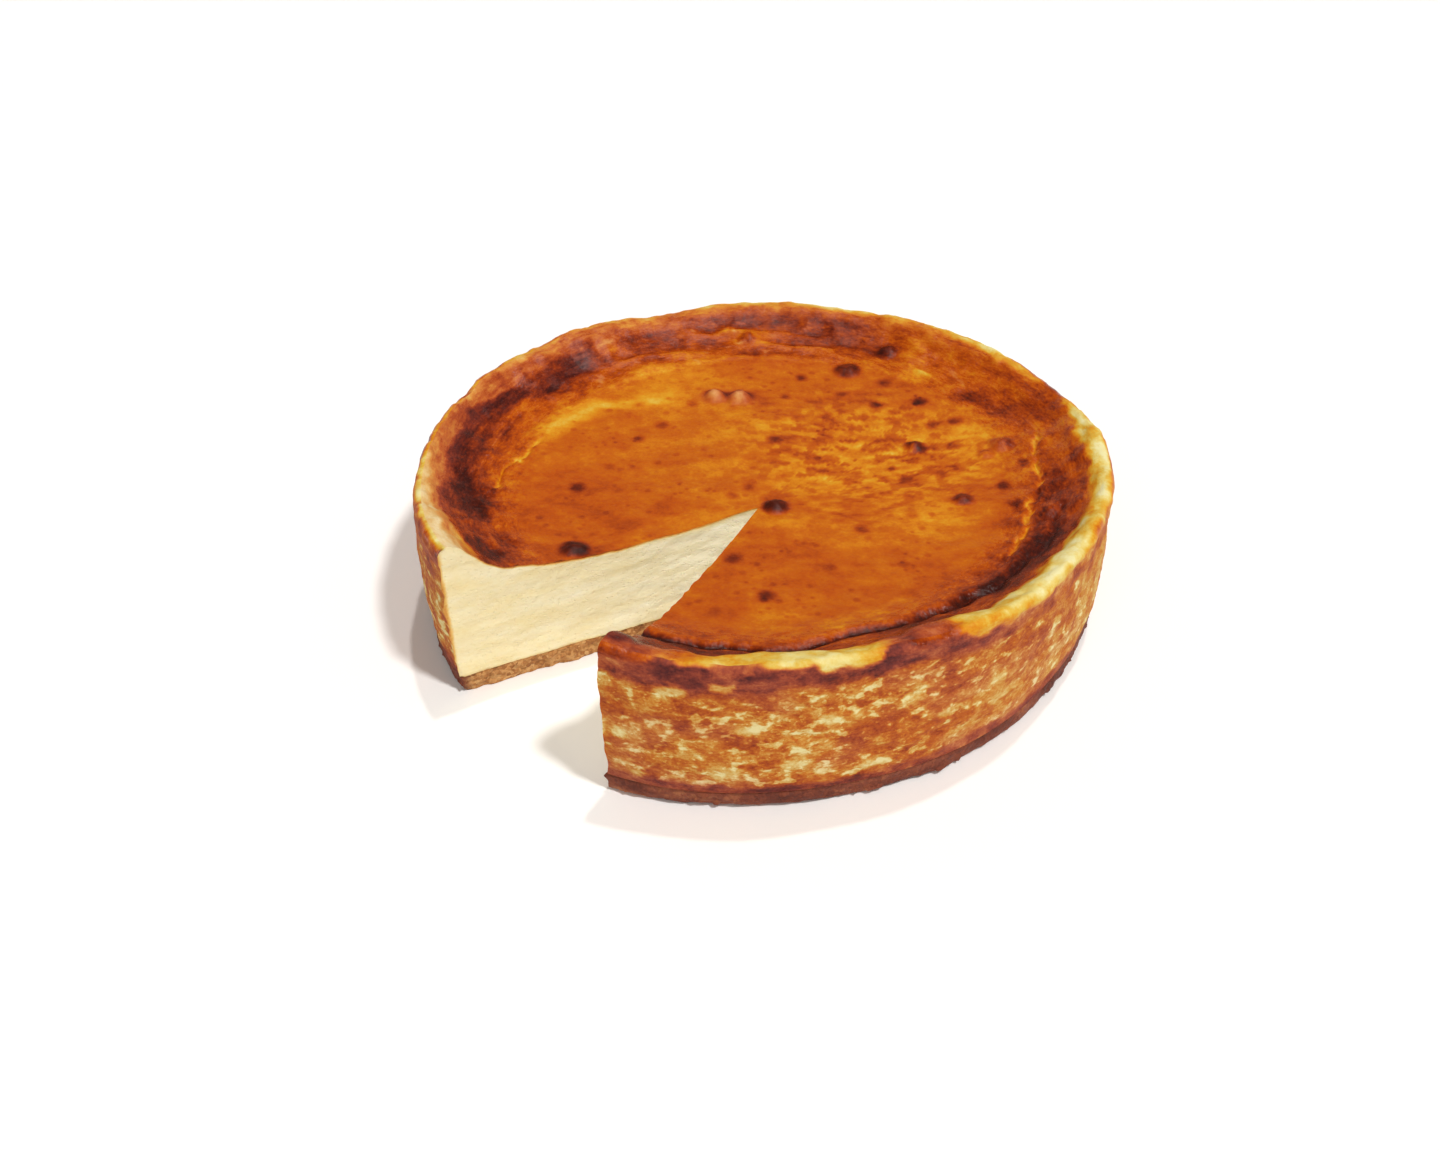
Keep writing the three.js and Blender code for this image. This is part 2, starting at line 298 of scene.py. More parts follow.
    # rim crest
    crest_t = table_at(deg, [(0, 0.06), (7, 0.14), (12, 0.05), (20, 0.10), (24, 0.30), (30, 0.12), (45, 0.14), (56, 0.12), (66, 0.26), (76, 0.10), (92, 0.12),
                             (102, 0.22), (118, 0.24), (134, 0.22), (144, 0.22), (158, 0.23), (170, 0.21), (185, 0.15), (206, 0.05), (214, 0.05), (244, 0.64), (252, 0.62), (258, 0.30),
                             (264, 0.13), (274, 0.10), (281, 0.19), (286, 0.10), (292, 0.64), (298, 0.60), (303, 0.14), (312, 0.12), (326, 0.08), (340, 0.07), (352, 0.14)])
    cr = crest_t + 0.05 + 0.13 * fbm(arc / 11, rs / 6, 0, 78, 3) + 0.05 * fbm(arc / 2.6, rs / 2.6, 0, 79, 2)
    cr = cr + 0.20 * np.exp(-((rw - hi - 0.012) / 0.012) ** 2) * table_at(deg, [(0, 0.2), (60, 0.6), (120, 1.0), (160, 1.5), (214, 1.2), (244, 0.3), (320, 0.2)])
    w = sstep(hi - 0.016, hi + 0.018, rw)
    t = t * (1 - w) + np.clip(cr, 0.0, 1) * w
    # brown tongues that reach over the outer edge
    tongue = sstep(0.18, 0.42, fbm(arc / 17, r / 60, 0, 80, 2)) * sstep(0.965, 0.992, rho) * table_at(deg, [(0, 1), (100, 1), (240, 1), (256, 0), (290, 0), (305, 0.6)])
    t = t + 0.30 * tongue
    t = t + table_at(deg, [(0, 0.30), (20, 0.40), (60, 0.42), (100, 0.42), (150, 0.52), (190, 0.60), (214, 0.50), (244, 0.25), (256, 0.02), (285, 0.0), (290, 0.2), (298, 0.1), (330, 0.18)]) * sstep(0.984, 0.999, rho + 0.006 * fbm(arc / 4, 0.5, 0, 179, 2))
    # crease, cracks, blisters, spots
    g = line_dist(x + 1.6 * fbm(x / 9, y / 9, 2, 51, 2), y + 1.6 * fbm(x / 9, y / 9, 7, 52, 2), GROOVE)
    t = t + 0.17 * np.exp(-(g / 2.4) ** 2) + 0.24 * np.exp(-(g / 1.3) ** 2) * table_at(deg, [(0, 0), (244, 0.2), (252, 1), (285, 1), (300, 0.3), (320, 0)])
    for i, c in enumerate(CRACKS):
        d = line_dist(x + 1.1 * fbm(x / 3.5, y / 3.5, 3, 61 + i, 2), y + 1.1 * fbm(x / 3.5, y / 3.5, 5, 63 + i, 2), c)
        t = t - 0.31 * np.exp(-(d / 0.75) ** 2) * sstep(-0.60, 0.0, fbm(x / 5, y / 5, 9, 65 + i, 2))
    for i, (bx, by, br, bh, bd) in enumerate(BLISTERS):
        d = np.hypot(x - bx, (y - by) * 1.08) / br
        # painted highlight: the front of each blister's dome is lightened, most on the twin blisters 2 and 3, which
        # also get a darker rim along their back edge
        painted_dome_highlight = 2.1 if i in (2, 3) else (0.35 if i in (5, 7) else 0.15)
        if i in (2, 3):
            t = t + 0.22 * np.exp(-((d - 1.0) / 0.28) ** 2) * sstep(-0.2, 0.9, (y - by) / br)
        t = t + bd * (1 - sstep(0.55, 1.35, d)) * (0.92 + 0.15 * fbm(x / 2, y / 2, i, 81, 2)) * (1 - painted_dome_highlight * np.exp(-(np.hypot(x - bx, y - by + 0.25 * br) / br / 0.62) ** 2))
    for i, (bx, by, br, bd) in enumerate(SPOTS):
        d = np.hypot(x - bx + 0.5 * fbm(x / 3, y / 3, i, 82, 2), y - by) / br
        t = t + 1.02 * bd * (1 - sstep(0.15, 1.40, d))
    return np.clip(t, 0, 1)


def wall_push(th, z, arc, rim):
    """Outward displacement of the outer wall in mm."""
    d = 0.75 * fbm(arc / 40, z / 22, 0, 91, 3)
    d = d + 0.38 * fbm(arc / 10, z / 5, 0, 92, 3)
    d = d + 0.20 * fbm(arc / 3.2, z / 1.9, 0, 93, 2)
    # shallow horizontal creases left by the paper lining
    d = d - 0.55 * np.clip(ridge(arc / 48, (z + 3 * fbm(arc / 30, z / 30, 0, 94, 2)) / 12, 0, 95, 1) - 0.80, 0, 1) * 3.0
    return d


# cream spots on the wall: azimuth (deg), height (mm), half width (mm), half height (mm)
WALL_SPOTS = [
    (257.5, 47.5, 6.5, 2.4), (265.0, 50.0, 4.0, 1.8), (264.5, 17.0, 6.0, 3.6), (286.5, 14.5, 6.0, 2.4), (275.5, 19.0, 5.0, 1.6), (307.5, 31.0, 4.5, 2.2),
    (309.0, 22.0, 5.0, 2.2), (298.5, 27.0, 5.0, 1.8), (268.0, 33.0, 4.0, 1.6), (280.0, 36.0, 5.0, 1.4), (292.0, 38.0, 3.6, 1.6), (322.0, 36.0, 3.6, 1.8),
    (334.0, 28.0, 4.0, 1.6), (252.0, 12.0, 3.4, 1.4), (250.0, 28.0, 2.4, 1.6), (203.0, 30.0, 4.0, 2.0), (196.0, 44.0, 5.0, 1.8), (188.0, 22.0, 5.0, 2.0),
    (172.0, 38.0, 5.0, 2.2), (160.0, 18.0, 6.0, 2.2), (146.0, 40.0, 5.0, 2.0), (131.0, 26.0, 6.0, 2.4), (118.0, 44.0, 4.5, 1.8), (104.0, 17.0, 6.0, 2.6),
    (92.0, 34.0, 5.0, 2.0), (78.0, 24.0, 5.0, 2.0), (64.0, 40.0, 5.0, 1.8), (50.0, 20.0, 6.0, 2.2), (36.0, 34.0, 5.0, 2.0), (20.0, 18.0, 5.0, 2.0), (6.0, 38.0, 4.0, 1.6),
]


def wall_spot(deg, z, arc):
    """The larger cream patches on the wall, 0 to 1."""
    out = 0.0
    for i, (sd, sz, hw, hh) in enumerate(WALL_SPOTS):
        da = (np.mod(deg - sd + 180, 360) - 180) * math.pi / 180 * 120
        e = np.hypot(da / hw, (z - sz) / (hh * 1.15)) + 0.34 * fbm(arc / 3.6, z / 2.6, i, 105, 2)
        out = np.maximum(out, 0.9 * (1 - sstep(0.62, 1.12, e)))
    return out


def wall_tone(th, z, arc, rim):
    deg = np.degrees(th)
    t = 0.56 + 0.11 * fbm(arc / 14, z / 9, 0, 101, 3) + 0.13 * fbm(arc / 4.4, z / 3.2, 0, 102, 3)
    t = t - table_at(deg, [(0, 0.10), (60, 0.06), (150, 0.04), (244, 0.0), (290, 0.0), (315, 0.06), (335, 0.15)])
    # cream freckles where the skin stuck to the lining
    n = fbm(arc / 4.6, z / 3.3, 0, 103, 3) + 0.30 * fbm(arc / 24, z / 14, 0, 104, 2)
    dens = table_at(deg, [(0, 0.02), (40, 0.06), (90, 0.08), (140, 0.08), (185, 0.10), (214, 0.10), (244, 0.02), (262, 0.12), (300, 0.12), (322, 0.04), (340, -0.02)])
    t = t - 0.10 * sstep(0.20, 0.70, n + dens)
    # browner under the rim at the front, and close to the base
    below = rim - z
    edge = table_at(deg, [(0, 0.16), (40, 0.18), (90, 0.20), (150, 0.18), (205, 0.16), (244, 0.20), (256, 0.30), (285, 0.32), (300, 0.24), (318, 0.22), (330, 0.10)])
    bb = below + 2.6 * fbm(arc / 11, z / 6, 0, 106, 3)
    t = t + edge * (1 - sstep(6.0, 11.0, bb)) * (0.80 + 0.5 * fbm(arc / 7, z / 3, 0, 108, 2))
    t = t + 0.20 * (1 - sstep(9.2, 11.6, z + 1.2 * fbm(arc / 14, z / 5, 0, 107, 2) + 0.6 * fbm(arc / 3, z / 3, 0, 109, 2)))
    spot = wall_spot(deg, z, arc)
    t = t * (1 - spot) + (0.20 + 0.08 * fbm(arc / 5, z / 3, 0, 112, 2)) * spot
    return np.clip(t, 0.06, 0.98)


def wall_fleck(th, z, arc, rim):
    """Where the small cream flecks are frequent, 0 to 1."""
    deg = np.degrees(th)
    f = table_at(deg, [(0, 0.45), (40, 0.6), (90, 0.6), (140, 0.6), (185, 0.65), (214, 0.6), (244, 0.45), (262, 0.75), (300, 0.72), (316, 0.45), (340, 0.2)])
    f = f + 0.35 * fbm(arc / 22, z / 13, 0, 104, 2)
    f = f * sstep(7.0, 13.0, rim - z + 2.6 * fbm(arc / 11, z / 6, 0, 106, 3)) * sstep(9.0, 12.0, z)
    return np.clip(f, 0, 1)


def plum_and_sheen(th, z, arc, rim, wall):
    """Where the browning on the wall turns purple: under the front rim, along the foot and in loose patches."""
    deg = np.degrees(th)
    front = table_at(deg, [(0, 0.25), (60, 0.3), (150, 0.35), (214, 0.3), (244, 0.45), (256, 0.85), (300, 0.85), (318, 0.6), (335, 0.2)])
    bb = rim - z + 2.6 * fbm(arc / 11, z / 6, 0, 106, 3)
    w = front * (1 - sstep(5.5, 10.5, bb)) + 0.65 * (1 - sstep(9.2, 11.6, z + 1.2 * fbm(arc / 14, z / 5, 0, 107, 2)))
    w = w + 0.30 * sstep(0.1, 0.6, fbm(arc / 18, z / 11, 0, 110, 2))
    return np.clip(w, 0, 1) * wall * (1 - wall_spot(deg, z, arc))


# ------------------------------------------------------------------ mesh building
TOP_, WALL_, CUTA_, CUTB_, UNDER_ = 0, 1, 2, 3, 4
GAP = np.array([math.cos(math.radians(225.4)), math.sin(math.radians(225.4))])


def out_normal(az):
    n = np.array([math.sin(az), -math.cos(az)])
    return n if np.dot(n, GAP) > 0 else -n


N_A, N_B = out_normal(CUT_A), out_normal(CUT_B)


def sector(count):
    """Directions from the cutting point round the part of the cake that is left, and how far the outer edge is."""
    phi = np.linspace(CUT_B, CUT_A + TAU, count)
    d = np.stack([np.cos(phi), np.sin(phi)], 1)
    L = np.full(count, 120.0)
    for _ in range(60):
        p = APEX + d * L[:, None]
        L = L * r_out(np.arctan2(p[:, 1], p[:, 0])) / np.hypot(p[:, 0], p[:, 1])
    return phi, d, L


def build_sector(name, count, s, top_fn, wall_fn, push_fn, z_low):
    """A closed mesh: top, outer wall, two knife faces and a flat underside, with the region of each face."""
    phi, d, L = sector(count)
    ns = len(s)
    P = APEX[None, None, :] + d[None, :, :] * (L[None, :] * s[:, None])[:, :, None]
    x, y = P[..., 0], P[..., 1]
    zt = top_fn(x, y)
    zt[0, :] = zt[0].mean()
    apex_z = float(zt[0, 0])
    W = wall_fn(phi, d, L, np.stack([x[-1], y[-1], zt[-1]], -1))
    T = np.concatenate([np.stack([x, y, zt], -1)[1:], W])
    nr = len(T)
    sides = ((0, N_B, CUTB_, 300), (count - 1, N_A, CUTA_, 340))
    flat = {}
    for col, n, reg, seed in sides:
        sm = np.hypot(T[:, col, 0] - APEX[0], T[:, col, 1] - APEX[1])
        flat[col] = (sm, T[:, col, 2].copy())
        depth = np.where(np.arange(nr) < ns - 1, 0.0, zt[-1, col] - T[:, col, 2])
        T[:, col, :2] += (push_fn(sm, T[:, col, 2], depth, seed, True) * sstep(0, 5, sm))[:, None] * n[None, :]

    verts, faces, regs = [], [], []
    total = 0

    def add(pts):
        nonlocal total
        pts = np.asarray(pts, float).reshape(-1, 3)
        verts.append(pts)
        total += len(pts)
        return np.arange(total - len(pts), total)

    def quads(grid, reg, flip):
        q = np.stack([grid[:-1, :-1].ravel(), grid[1:, :-1].ravel(), grid[1:, 1:].ravel(), grid[:-1, 1:].ravel()], 1)
        if flip:
            q = q[:, ::-1]
        faces.append(q)
        regs.append(np.full(len(q), reg))

    i_top = add([APEX[0], APEX[1], apex_z])[0]
    ids = add(T).reshape(nr, count)
    nw = nr - (ns - 1)
    quads(np.concatenate([np.full((1, count), i_top), ids[:ns - 1]]), TOP_, False)
    quads(ids[ns - 2:], WALL_, False)

    # upright edge where the two knife faces meet
    sm0, zz0 = flat[0]
    eta = (zz0[ns - 2] - zz0[ns - 2:]) / (zz0[ns - 2] - z_low)
    z_left = apex_z + (z_low - apex_z) * eta
    i_left = np.concatenate([[i_top], add(np.stack([np.full(nw, APEX[0]), np.full(nw, APEX[1]), z_left[1:]], 1))])

    bottoms = {}
    for col, n, reg, seed in sides:
        sm, zz = flat[col]
        dirv = d[col]
        s_t = np.concatenate([[0.0], sm[:ns - 1]])
        z_t = np.concatenate([[apex_z], zz[:ns - 1]])
        s_r, z_r = sm[ns - 2:], zz[ns - 2:]
        et = np.clip((z_r[0] - z_r) / (z_r[0] - z_low), 0, 1)[:, None]
        xi = (s_t / s_t[-1])[None, :]
        Ts, Tz = s_t[None, :], z_t[None, :]
        Bs, Bz = xi * s_r[-1], np.full_like(xi, z_low)
        Ls, Lz = np.zeros_like(et), apex_z + (z_low - apex_z) * et
        Rs, Rz = s_r[:, None], z_r[:, None]
        S = (1 - et) * Ts + et * Bs + (1 - xi) * Ls + xi * Rs - (xi * (1 - et) * s_t[-1] + xi * et * s_r[-1])
        Z = (1 - et) * Tz + et * Bz + (1 - xi) * Lz + xi * Rz - ((1 - xi) * (1 - et) * apex_z + xi * (1 - et) * z_t[-1] + (1 - xi) * et * z_low + xi * et * z_low)
        depth = z_t[None, :] - Z
        G = np.zeros(S.shape, int)
        inner = np.zeros(S.shape, bool)
        inner[1:, 1:-1] = True
        pos = APEX[None, None, :] + dirv[None, None, :] * S[..., None]
        psh = push_fn(S, Z, depth, seed, False) * sstep(0, 5, S)
        near = np.minimum(sstep(0, 1.6, s_r[:, None] - S), sstep(0, 1.6, depth))
        edge = push_fn(S, Z, depth, seed, True) * sstep(0, 5, S)
        psh = psh * near + edge * (1 - near)
        pos = pos + psh[..., None] * n[None, None, :]
        Z[-1] = z_low
        G[inner] = add(np.concatenate([pos, Z[..., None]], -1)[inner])
        G[0] = np.concatenate([[i_top], ids[:ns - 1, col]])
        G[:, -1] = ids[ns - 2:, col]
        G[:, 0] = i_left
        quads(G, reg, reg == CUTB_)
        bottoms[col] = G[-1]

    v = np.concatenate(verts)
    q = np.concatenate(faces)
    reg = np.concatenate(regs)
    bad = (q == np.roll(q, -1, 1)).any(1)
    tri, treg = [], []
    for row, rr in zip(q[bad], reg[bad]):
        u = [row[k] for k in range(4) if row[k] != row[(k + 1) % 4]]
        if len(u) == 3:
            tri.append(u)
            treg.append(rr)
    tri = np.array(tri, int).reshape(-1, 3)
    q, reg = q[~bad], reg[~bad]
    # the underside as one flat face: round the wall's foot, then in and out along the two cuts
    ring = np.concatenate([ids[-1][::-1], bottoms[0][::-1][1:], bottoms[count - 1][1:-1]])
    loop_v = np.concatenate([q.ravel(), tri.ravel(), ring])
    sizes = np.concatenate([np.full(len(q), 4), np.full(len(tri), 3), [len(ring)]])
    region = np.concatenate([reg, np.array(treg, int), [UNDER_]])
    start = np.concatenate([[0], np.cumsum(sizes)[:-1]])
    me = bpy.data.meshes.new(name)
    out = v.copy()
    out[:, :2] += SHIFT
    me.vertices.add(len(v))
    me.vertices.foreach_set("co", (out * 0.001).astype(np.float32).ravel())
    me.loops.add(len(loop_v))
    me.loops.foreach_set("vertex_index", loop_v.astype(np.int32))
    me.polygons.add(len(sizes))
    me.polygons.foreach_set("loop_start", start.astype(np.int32))
    me.polygons.foreach_set("use_smooth", np.ones(len(sizes), bool))
    me.update(calc_edges=True)
    loop_face = np.repeat(np.arange(len(sizes)), sizes)
    loop_reg = region[loop_face]

    # own layout for the texture bake: disc, two strips of wall, two knife faces, small underside
    p = v[loop_v]
    _, _, _, deg, arc = polar(p[:, 0], p[:, 1])
    zmax = v[:, 2].max()
    uv = np.zeros((len(p), 2))
    m = loop_reg == TOP_
    uv[m] = np.stack([0.333 + p[m, 0] * 0.00264, 0.668 + p[m, 1] * 0.00264], 1)
    t = (arc / 110.0 - math.radians(240.0)) / math.radians(336.0)
    face_t = np.bincount(loop_face, t, len(sizes)) / sizes
    second = (face_t > 0.5)[loop_face]
    m = loop_reg == WALL_
    uu = (t - 0.5 * second) * 2.0
    hh = (p[:, 2] - z_low) / (zmax - z_low)
    uv[m] = np.stack([0.012 + 0.976 * uu[m], np.where(second[m], 0.176, 0.010) + 0.145 * hh[m]], 1)
    sm = np.hypot(p[:, 0] - APEX[0], p[:, 1] - APEX[1])
    for reg_id, v0 in ((CUTA_, 0.84), (CUTB_, 0.67)):
        m = loop_reg == reg_id
        uv[m] = np.stack([0.675 + 0.310 * sm[m] / 116.0, v0 + 0.140 * hh[m]], 1)
    m = loop_reg == UNDER_
    uv[m] = np.stack([0.83 + p[m, 0] * 0.0011, 0.50 + p[m, 1] * 0.0011], 1)
    layer = me.uv_layers.new(name="OFBake")
    layer.data.foreach_set("uv", uv.astype(np.float32).ravel())
    me.set_sharp_from_angle(angle=math.radians(62))
    return me, v, loop_v, loop_reg, flat


def corner(me, name, values, kind="FLOAT"):
    a = me.attributes.new(name, kind, "CORNER")
    a.data.foreach_set("vector" if kind == "FLOAT_VECTOR" else "value", np.asarray(values).astype(np.float32).ravel())


# ------------------------------------------------------------------ filling
def filling_wall(phi, d, L, e):
    NW, n_round = 42, 6
    pe = APEX + d * L[:, None]
    th1 = np.arctan2(pe[:, 1], pe[:, 0])
    th0 = np.arctan2(e[:, 1], e[:, 0])
    th1 = th0 + np.mod(th1 - th0 + math.pi, TAU) - math.pi
    r0 = np.hypot(e[:, 0], e[:, 1])
    _, _, _, _, arc = polar(pe[:, 0], pe[:, 1])
    ro = r_out(th1)
    rows = []
    drop = 3.2
    for k in range(1, NW + 1):
        if k <= n_round:
            a = k / n_round * math.pi / 2
            rr = r0 + (ro - r0) * math.sin(a)
            zz = e[:, 2] - drop * (1 - math.cos(a))
        else:
            u = (k - n_round) / (NW - n_round)
            z0 = e[:, 2] - drop
            zz = z0 + (T_BASE - z0) * u
            rr = ro * np.interp(1 - u, [0, 0.15, 0.4, 0.7, 1.0], [R_LOW / R, 1.0, 1.004, 1.002, 1.0])
        m = min(1.0, k / n_round)
        th = th0 + (th1 - th0) * m
        rr = rr + wall_push(th, zz, arc, e[:, 2]) * m * np.clip((zz - T_BASE) / 3.0, 0.25, 1)
        rows.append(np.stack([rr * np.cos(th), rr * np.sin(th), zz], 1))
    return np.stack(rows)


def filling_push(sm, z, depth, seed, on_edge):
    """How far the knife face stands out of its plane, in mm."""
    out = 0.55 * fbm(sm / 26, z / 14, 0, seed, 2)
    if on_edge:
        return out * 0.8 + (0.12 + 0.22 * sstep(22, 60, sm)) * fbm(sm / 2.2, z / 6, 0, seed + 2, 2)
    out = out + 0.18 * fbm(sm / 8, z / 2.4, 0, seed + 5, 3)
    out = out + 0.13 * fbm(sm / 2.6, z / 1.5, 0, seed + 9, 2)
    out = out + 0.50 * (1 - sstep(-0.8, 0.8, z - 12.0 - 1.6 * fbm(sm / 16, 0.3, 0, seed + 13, 2)))
    out = out + 0.24 * fbm(sm / 11, z / 6, 0, seed + 21, 3)
    out = out - 0.22 * sstep(0.66, 0.90, vnoise(sm / 2.0, z / 1.7, 0, seed + 17))
    return out


def make_filling():
    s = np.concatenate([np.linspace(0, 0.70, 68), np.linspace(0.70, 0.974, 40)[1:]])
    me, v, loop_v, loop_reg, flat = build_sector("cheesecake_body", 522, s, top_height, filling_wall, filling_push, T_BASE)
    x, y, z = v[:, 0], v[:, 1], v[:, 2]
    th, r, rho, deg, arc = polar(x, y)
    tt = top_tone(x, y, z)
    wt = wall_tone(th, z, arc, rim_at(th) + 0.0)
    # the top's colour runs over the shoulder before the wall's own takes over
    low = table_at(deg, [(0, 2.0), (60, 1.6), (150, 1.4), (214, 1.6), (244, 0.9), (256, 0.3), (276, 0.4), (280, 3.0), (286, 3.2), (289, 0.3), (298, 1.2), (305, 3.0), (320, 2.6), (340, 2.4)])
    over = sstep(low, low + 1.4, rim_at(th) - z + 0.9 * fbm(arc / 6, z / 3, 0, 111, 2))
    wt = tt * (1 - over) + wt * over
    # thin skin seen at the edges of the knife faces
    zt = top_height(x, y)
    under = zt - z
    skin = np.clip(1 - (under - 0.15) / 1.1, 0, 1) * np.clip(tt * 1.25, 0, 1)
    ro = r_out(th)
    side = np.clip(1 - (ro * 1.002 - r - 0.2) / 1.5, 0, 1)
    rimmy = sstep(0.93, 0.96, rho)
    ct = np.maximum(skin * 0.95, side * 0.55)
    ct = np.maximum(ct, 0.22 * np.clip(1 - (ro - r) / 6.0, 0, 1))
    ct = np.maximum(ct, 0.26 * np.clip(1 - under / 3.0, 0, 1) * (1 - 0.8 * rimmy))
    ct = np.maximum(ct, 0.30 * np.clip(1 - (z - T_BASE) / 1.6, 0, 1))
    # painted light: the knife faces are kept lighter close to the corner where they meet, against the shade between the
    # two faces there, and grow darker further out
    ct = np.maximum(ct, 0.12 * sstep(15, 60, np.hypot(x - APEX[0], y - APEX[1])) + 0.055 * sstep(45, 110, np.hypot(x - APEX[0], y - APEX[1])))
    tone = np.where(loop_reg == TOP_, tt[loop_v], np.where(loop_reg == WALL_, wt[loop_v], ct[loop_v]))
    corner(me, "tone", tone)
    corner(me, "wall", np.where(loop_reg == WALL_, over[loop_v], 0.0))
    corner(me, "fleck", np.where(loop_reg == WALL_, wall_fleck(th, z, arc, rim_at(th))[loop_v], 0.0))
    # purple on the top: along the front crest the skin's own purple-brown; in the darkest burnt band at the back-left a
    # purple tint that is partly the skin's colour and partly painted sheen
    top_plum_and_sheen = 0.45 * sstep(0.66, 0.90, tt) * sstep(0.80, 0.86, rho) * table_at(deg, [(0, 0.2), (60, 0.2), (105, 0.25), (122, 0.8), (150, 0.6), (170, 0.4), (214, 0.2), (244, 0.3), (320, 0.3)])
    top_plum_and_sheen = np.maximum(top_plum_and_sheen, 0.6 * sstep(0.88, 0.93, rho) * table_at(deg, [(0, 0), (240, 1), (252, 1), (260, 0), (286, 0), (291, 1), (296, 1), (301, 0)]))
    # painted highlight: pinkish streaks on the fold crests at the back
    top_plum_and_sheen = np.maximum(top_plum_and_sheen, 0.7 * painted_fold_highlight(arc, r + np.clip(z - Z_BASIN, 0, None), rho, deg))
    # painted highlight: pinkish sheen on the tops of blisters 2, 3, 5 and 7
    for i in (2, 3, 5, 7):
        bx, by, br = BLISTERS[i][:3]
        top_plum_and_sheen = np.maximum(top_plum_and_sheen, (0.85 if i < 4 else 0.2) * np.exp(-(np.hypot(x - bx, y - by) / br / 0.8) ** 2))
    # purple weight for the material: on the wall the skin's own purple-brown, on the top the purple tint and the
    # painted highlights above
    corner(me, "plum_and_sheen", np.where(loop_reg == WALL_, plum_and_sheen(th, z, arc, rim_at(th), over)[loop_v], top_plum_and_sheen[loop_v]))
    corner(me, "cut", ((loop_reg == CUTA_) | (loop_reg == CUTB_) | (loop_reg == UNDER_)).astype(float))
    inband = sstep(0.66, 0.76, rho)
    corner(me, "band", np.where(loop_reg == TOP_, inband[loop_v], 1.0))
    sm = np.hypot(x - APEX[0], y - APEX[1])
    fl_top = np.stack([arc, r + np.clip(z - Z_BASIN, 0, None), np.zeros_like(r)], 1)
    fl_wall = np.stack([arc, 200 + z, np.zeros_like(r)], 1)
    fl_cut = np.stack([sm, 400 + z, np.zeros_like(r)], 1)
    fl = np.where((loop_reg == TOP_)[:, None], fl_top[loop_v], np.where((loop_reg == WALL_)[:, None], fl_wall[loop_v], fl_cut[loop_v]))
    fl[:, 2] = np.where(loop_reg == CUTB_, 50.0, 0.0)
    corner(me, "flow", fl, "FLOAT_VECTOR")
    return me


# ------------------------------------------------------------------ crumb base
def base_top(x, y):
    return np.full(np.shape(x), T_BASE) - 0.10 - 0.10 * np.abs(fbm(x / 3, y / 3, 0, 201, 2))


def base_wall(phi, d, L, e):
    NW = 12
    pe = APEX + d * L[:, None]
    th1 = np.arctan2(pe[:, 1], pe[:, 0])
    _, _, _, _, arc = polar(pe[:, 0], pe[:, 1])
    ro = r_out(th1) - (R - R_BASE)
    rows = []
    for k in range(1, NW + 1):
        u = k / NW
        zz = (T_BASE - 0.15) * (1 - u)
        zz = np.full(len(L), zz)
        prof = np.interp(zz, [0, 0.5, 1.4, 3.4, 6.2, 7.0], [-1.7, -0.9, -0.25, 0.0, -0.1, -0.5])
        n = 0.45 * fbm(arc / 14, zz / 5, 0, 211, 3) + 0.22 * fbm(arc / 3.2, zz / 2.0, 0, 212, 2) + 0.14 * fbm(arc / 1.5, zz / 1.1, 0, 213, 2)
        n = n + 0.9 * sstep(0.66, 0.90, vnoise(arc / 2.0, zz / 1.8, 0, 214)) * sstep(0.3, 1.2, zz) * sstep(6.6, 5.4, zz)
        rr = ro + prof + n * min(1.0, 0.5 + u)
        rows.append(np.stack([rr * np.cos(th1), rr * np.sin(th1), zz], 1))
    return np.stack(rows)


def base_push(sm, z, depth, seed, on_edge):
    out = 0.55 + 0.75 * fbm(sm / 8, z / 5, 0, seed + 31, 3) + 0.55 * fbm(sm / 2.4, z / 1.8, 0, seed + 35, 2)
    out = out + 0.9 * sstep(0.25, 0.7, fbm(sm / 5, 0.4, 0, seed + 39, 2))
    out = out * (0.65 + 0.35 * sstep(0, 3, z))
    return np.clip(out, -0.4, 2.6)


def make_base():
    s = np.concatenate([np.linspace(0, 0.97, 84), [0.985]])
    me, v, loop_v, loop_reg, flat = build_sector("crumb_base", 620, s, base_top, base_wall, base_push, 0.0)
    x, y, z = v[:, 0], v[:, 1], v[:, 2]
    th, r, rho, deg, arc = polar(x, y)
    iscut = (loop_reg == CUTA_) | (loop_reg == CUTB_)
    # outside is baked dark, the broken edge inside is lighter
    outside = sstep(0.955, 0.992, rho)
    dark = np.where(loop_reg == WALL_, 1.0, outside[loop_v])
    corner(me, "dark", dark)
    n = 0.5 + 0.5 * fbm(arc / 16, z / 6, 0, 221, 3)
    corner(me, "mottle", n[loop_v])
    return me


# ------------------------------------------------------------------ materials
def srgb(r, g, b):
    f = lambda c: (c / 255.0) / 12.92 if c / 255.0 <= 0.04045 else ((c / 255.0 + 0.055) / 1.055) ** 2.4
    return (f(r), f(g), f(b), 1.0)


